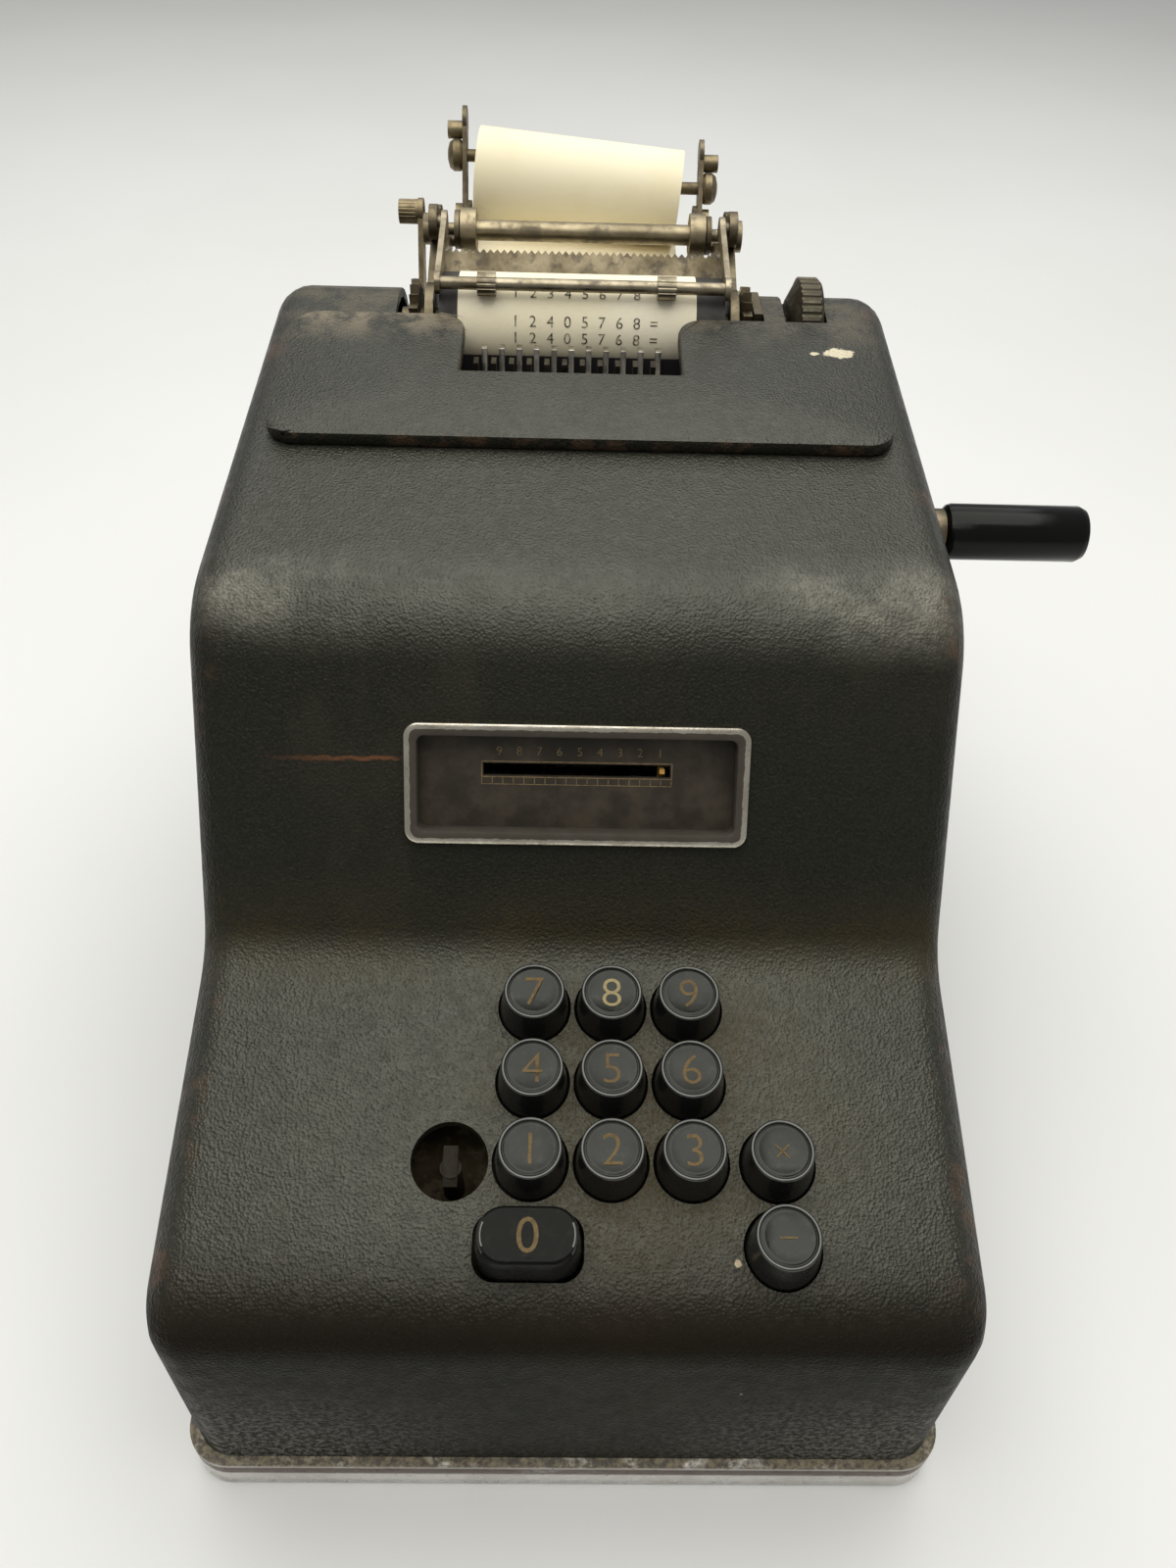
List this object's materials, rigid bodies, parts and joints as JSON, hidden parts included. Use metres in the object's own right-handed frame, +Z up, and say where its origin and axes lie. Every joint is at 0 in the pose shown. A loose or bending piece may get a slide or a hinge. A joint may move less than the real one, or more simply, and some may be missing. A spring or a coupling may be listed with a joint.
{
  "type": "adding machine",
  "caption": "Ten-key desk adding machine with a side crank, a column window and a paper-tape printer on the rear deck.",
  "frame": {"origin": "centre of the flat underside of the base tray", "axes": "+Z up, +Y towards the rear (paper roll), +X towards the crank side"},
  "size_m": [0.2413, 0.368, 0.223],
  "materials": {
    "crinkle_paint": "wrinkle",
    "bright_metal": "polished",
    "base_metal": "polished, dirty",
    "dark_plate": "satin",
    "key_plastic": "gloss",
    "steel": "dull",
    "brass": "tarnished",
    "rubber": "matt",
    "paper": "matt",
    "ribbon_cloth": "woven",
    "pointer_paint": "matt"
  },
  "bodies": {
    "machine": {"base_tray": "base_metal", "housing": "crinkle_paint", "deck_plate": "crinkle_paint", "window_bezel": "bright_metal", "window_plate": "dark_plate", "case_screws": "steel", "key_guides": "steel", "key_springs": "steel", "frame_left": "steel", "frame_right": "steel", "frame_rods": "steel", "register_shaft": "steel", "crank_spring": "steel", "bridge_comb": "steel", "ribbon": "ribbon_cloth", "carriage_bed": "steel", "carriage_plate_left": "steel", "carriage_plate_right": "steel", "tear_bar": "bright_metal", "guide_tube": "brass", "paper_strip": "paper"},
    "carriage": {"pin_carriage": "steel", "column_pointer": "pointer_paint"},
    "register": {"register_wheels": "brass"},
    "crank": {"crank_shaft": "steel", "crank_cam": "steel", "crank_arm": "steel", "crank_spindle": "bright_metal"},
    "grip": {"crank_grip": "key_plastic"},
    "type": {"type_bars": "steel", "lift_bar": "steel"},
    "spool_left": {"ribbon_spool_left": "steel"},
    "spool_right": {"ribbon_spool_right": "steel"},
    "platen": {"platen": "rubber", "platen_shaft": "steel", "ratchet_wheels": "brass", "platen_knob": "bright_metal"},
    "release": {"release_lever": "brass", "release_knob": "brass"},
    "feed": {"feed_roller": "rubber"},
    "bail": {"bail": "bright_metal"},
    "bail_rollers": {"bail_rollers": "steel"},
    "roll_frame": {"roll_arms": "steel", "roll_extensions": "steel", "roll_pivots": "bright_metal", "clamp_nuts": "brass"},
    "roll": {"paper_roll": "paper"},
    "key_0_body": {"key_0": "key_plastic"},
    "key_1_body": {"key_1": "key_plastic"},
    "key_2_body": {"key_2": "key_plastic"},
    "key_3_body": {"key_3": "key_plastic"},
    "key_4_body": {"key_4": "key_plastic"},
    "key_5_body": {"key_5": "key_plastic"},
    "key_6_body": {"key_6": "key_plastic"},
    "key_7_body": {"key_7": "key_plastic"},
    "key_8_body": {"key_8": "key_plastic"},
    "key_9_body": {"key_9": "key_plastic"},
    "key_repeat_body": {"key_repeat": "key_plastic"},
    "key_subtract_body": {"key_subtract": "key_plastic"},
    "key_bare_stem_body": {"key_bare_stem": "steel"}
  },
  "joints": [
    {"name": "key_0_press", "type": "slide", "parent": "machine", "child": "key_0_body", "axis": [0, 0.1392, -0.9903], "range_m": [0, 0.005], "stiffness_N_per_m": 150, "deforming": ["key_springs"]},
    {"name": "key_1_press", "type": "slide", "parent": "machine", "child": "key_1_body", "axis": [0, 0.1392, -0.9903], "range_m": [0, 0.005], "stiffness_N_per_m": 150, "deforming": ["key_springs"]},
    {"name": "key_2_press", "type": "slide", "parent": "machine", "child": "key_2_body", "axis": [0, 0.1392, -0.9903], "range_m": [0, 0.005], "stiffness_N_per_m": 150, "deforming": ["key_springs"]},
    {"name": "key_3_press", "type": "slide", "parent": "machine", "child": "key_3_body", "axis": [0, 0.1392, -0.9903], "range_m": [0, 0.005], "stiffness_N_per_m": 150, "deforming": ["key_springs"]},
    {"name": "key_4_press", "type": "slide", "parent": "machine", "child": "key_4_body", "axis": [0, 0.1392, -0.9903], "range_m": [0, 0.005], "stiffness_N_per_m": 150, "deforming": ["key_springs"]},
    {"name": "key_5_press", "type": "slide", "parent": "machine", "child": "key_5_body", "axis": [0, 0.1392, -0.9903], "range_m": [0, 0.005], "stiffness_N_per_m": 150, "deforming": ["key_springs"]},
    {"name": "key_6_press", "type": "slide", "parent": "machine", "child": "key_6_body", "axis": [0, 0.1392, -0.9903], "range_m": [0, 0.005], "stiffness_N_per_m": 150, "deforming": ["key_springs"]},
    {"name": "key_7_press", "type": "slide", "parent": "machine", "child": "key_7_body", "axis": [0, 0.1392, -0.9903], "range_m": [0, 0.005], "stiffness_N_per_m": 150, "deforming": ["key_springs"]},
    {"name": "key_8_press", "type": "slide", "parent": "machine", "child": "key_8_body", "axis": [0, 0.1392, -0.9903], "range_m": [0, 0.005], "stiffness_N_per_m": 150, "deforming": ["key_springs"]},
    {"name": "key_9_press", "type": "slide", "parent": "machine", "child": "key_9_body", "axis": [0, 0.1392, -0.9903], "range_m": [0, 0.005], "stiffness_N_per_m": 150, "deforming": ["key_springs"]},
    {"name": "key_repeat_press", "type": "slide", "parent": "machine", "child": "key_repeat_body", "axis": [0, 0.1392, -0.9903], "range_m": [0, 0.005], "stiffness_N_per_m": 150, "deforming": ["key_springs"]},
    {"name": "key_subtract_press", "type": "slide", "parent": "machine", "child": "key_subtract_body", "axis": [0, 0.1392, -0.9903], "range_m": [0, 0.005], "stiffness_N_per_m": 150, "deforming": ["key_springs"]},
    {"name": "key_bare_stem_press", "type": "slide", "parent": "machine", "child": "key_bare_stem_body", "axis": [0, 0.1392, -0.9903], "range_m": [0, 0.005], "stiffness_N_per_m": 150, "deforming": ["key_springs"]},
    {"name": "crank_pull", "type": "hinge", "parent": "machine", "child": "crank", "pos_m": [0, 0.06, 0.076], "axis": [1, 0, 0], "range_deg": [0, 75], "stiffness_Nm_per_rad": 0.6, "springref_deg": -34.38, "deforming": ["crank_spring"]},
    {"name": "grip_turn", "type": "hinge", "parent": "crank", "child": "grip", "pos_m": [0, 0.06, 0.156], "axis": [1, 0, 0], "continuous": true},
    {"name": "type_lift", "type": "slide", "parent": "machine", "child": "type", "axis": [0, 0, 1], "range_m": [0, 0.00901]},
    {"name": "carriage_step", "type": "slide", "parent": "machine", "child": "carriage", "axis": [-1, 0, 0], "range_m": [0, 0.041]},
    {"name": "register_turn", "type": "hinge", "parent": "machine", "child": "register", "pos_m": [0, 0.027, 0.118], "axis": [1, 0, 0], "continuous": true},
    {"name": "spool_left_turn", "type": "hinge", "parent": "machine", "child": "spool_left", "pos_m": [-0.06, 0.079, 0.174], "axis": [0, 0, 1], "continuous": true},
    {"name": "spool_right_turn", "type": "hinge", "parent": "machine", "child": "spool_right", "pos_m": [0.06, 0.079, 0.174], "axis": [0, 0, 1], "continuous": true},
    {"name": "platen_turn", "type": "hinge", "parent": "machine", "child": "platen", "pos_m": [0, 0.119, 0.189], "axis": [1, 0, 0], "continuous": true},
    {"name": "paper_release", "type": "hinge", "parent": "machine", "child": "release", "pos_m": [0, 0.139, 0.171], "axis": [1, 0, 0], "range_deg": [0, 8]},
    {"name": "feed_turn", "type": "hinge", "parent": "release", "child": "feed", "pos_m": [0, 0.11393, 0.17007], "axis": [1, 0, 0], "continuous": true},
    {"name": "bail_lift", "type": "hinge", "parent": "machine", "child": "bail", "pos_m": [0, 0.139, 0.211], "axis": [-1, 0, 0], "range_deg": [0, 60]},
    {"name": "bail_rollers_turn", "type": "hinge", "parent": "bail", "child": "bail_rollers", "pos_m": [0, 0.10968, 0.20452], "axis": [1, 0, 0], "continuous": true},
    {"name": "roll_frame_lift", "type": "hinge", "parent": "machine", "child": "roll_frame", "pos_m": [0, 0.15, 0.205], "axis": [1, 0, 0], "range_deg": [0, 35]},
    {"name": "roll_turn", "type": "hinge", "parent": "roll_frame", "child": "roll", "pos_m": [-0.0015, 0.20605, 0.20062], "axis": [0.9956, -0.0579, -0.0733], "continuous": true}
  ],
  "couplings": [
    {"joint": "type_lift", "follows": "crank_pull", "m_per_rad": 0.0068755},
    {"joint": "feed_turn", "follows": "platen_turn", "ratio": -2.86}
  ]
}
